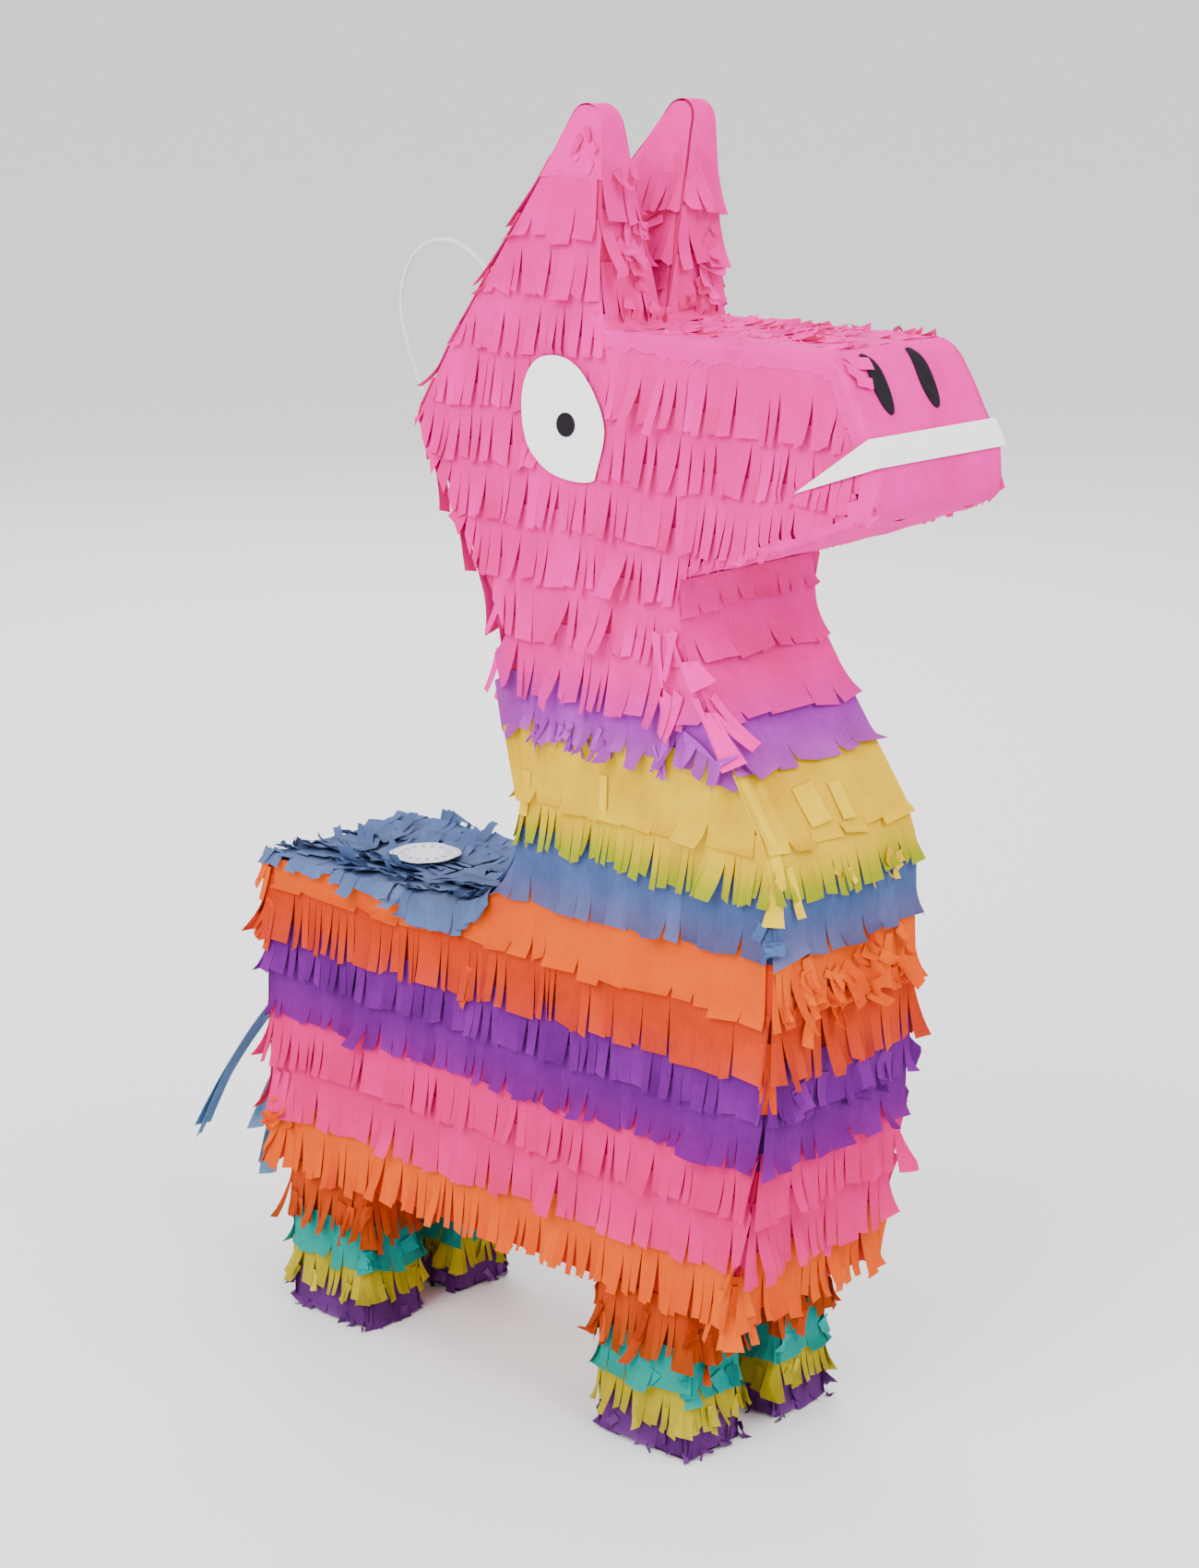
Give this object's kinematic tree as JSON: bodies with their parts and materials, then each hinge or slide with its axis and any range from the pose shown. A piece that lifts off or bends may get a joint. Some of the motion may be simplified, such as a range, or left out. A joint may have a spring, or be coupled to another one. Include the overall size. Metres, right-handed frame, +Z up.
{
  "type": "pinata",
  "caption": "Flat-sided llama pinata of card covered in rows of cut tissue fringe, with a fill flap under a round sticker, a paper tail and a cord loop to hang it by.",
  "frame": {"origin": "middle of the base of the box round the object, measured without the hanging loop", "axes": "+X towards the muzzle, +Y to the animal's left, +Z up"},
  "size_m": [0.4538, 0.096, 0.5914],
  "materials": {
    "wall_card": "raw kraft card, mostly hidden",
    "hot_pink_tissue": "translucent crinkled tissue, matte",
    "smooth_pink_tissue": "uncut tissue glued flat, matte",
    "body_pink_tissue": "translucent crinkled tissue, matte",
    "violet_tissue": "translucent crinkled tissue, matte",
    "yellow_tissue": "translucent crinkled tissue, matte",
    "blue_tissue": "translucent crinkled tissue, matte",
    "orange_tissue": "translucent crinkled tissue, matte",
    "copper_tissue": "translucent crinkled tissue, matte",
    "purple_tissue": "translucent crinkled tissue, matte",
    "turquoise_tissue": "translucent crinkled tissue, matte",
    "olive_tissue": "translucent crinkled tissue, matte",
    "sky_blue_paper": "translucent paper strips, matte",
    "white_paper": "smooth white paper",
    "black_paper": "smooth black paper",
    "loop_cord": "stiff white twine"
  },
  "bodies": {
    "shell": {"back_curve_panel": "wall_card", "back_of_head_panel": "wall_card", "back_of_head_tissue": "hot_pink_tissue", "belly_panel": "wall_card", "belly_tissue": "orange_tissue", "blue_neck_row": "blue_tissue", "chest_panel": "wall_card", "copper_leg_rows": "copper_tissue", "copper_row": "copper_tissue", "ear_tissue": "hot_pink_tissue", "eye_whites": "white_paper", "foot_caps": "wall_card", "front_left_leg": "wall_card", "front_right_leg": "wall_card", "hanging_loop": "loop_cord", "jaw_panel": "wall_card", "jaw_tissue": "smooth_pink_tissue", "left_ear_back_panel": "wall_card", "left_ear_front_panel": "wall_card", "left_ear_inner_panel": "wall_card", "left_head_pink_rows": "hot_pink_tissue", "left_side_panel": "wall_card", "loop_knots": "loop_cord", "lower_orange_row": "orange_tissue", "lower_pink_row": "body_pink_tissue", "lower_purple_row": "purple_tissue", "lower_yellow_row": "yellow_tissue", "mouth_band": "white_paper", "muzzle_front_panel": "wall_card", "muzzle_front_tissue": "smooth_pink_tissue", "muzzle_top_panel": "wall_card", "muzzle_top_tissue": "smooth_pink_tissue", "nape_panel": "wall_card", "neck_front_panel": "wall_card", "neck_pink_rows": "hot_pink_tissue", "nostrils": "black_paper", "olive_leg_rows": "olive_tissue", "pupils": "black_paper", "purple_foot_rows": "purple_tissue", "rear_left_leg": "wall_card", "rear_panel": "wall_card", "rear_right_leg": "wall_card", "right_ear_back_panel": "wall_card", "right_ear_front_panel": "wall_card", "right_ear_inner_panel": "wall_card", "right_head_pink_rows": "hot_pink_tissue", "right_side_panel": "wall_card", "rump_top_panel": "wall_card", "rump_top_tissue": "blue_tissue", "tail_root_strip": "sky_blue_paper", "turquoise_leg_rows": "turquoise_tissue", "upper_orange_row": "orange_tissue", "upper_pink_row": "body_pink_tissue", "upper_purple_row": "purple_tissue", "upper_yellow_row": "yellow_tissue", "violet_row": "violet_tissue"},
    "flap": {"fill_flap": "wall_card", "flap_tissue": "blue_tissue", "fill_sticker": "white_paper"},
    "tail": {"tail_streamers": "sky_blue_paper"}
  },
  "joints": [
    {"name": "fill_flap_hinge", "type": "hinge", "parent": "shell", "child": "flap", "pos_m": [-0.04771, 0, 0.228], "axis": [0, 1, 0], "range_deg": [0, 110]},
    {"name": "tail_swing", "type": "hinge", "parent": "shell", "child": "tail", "pos_m": [-0.13901, 0, 0.166], "axis": [0, 1, 0], "range_deg": [-8, 60], "stiffness_Nm_per_rad": 0.02}
  ]
}
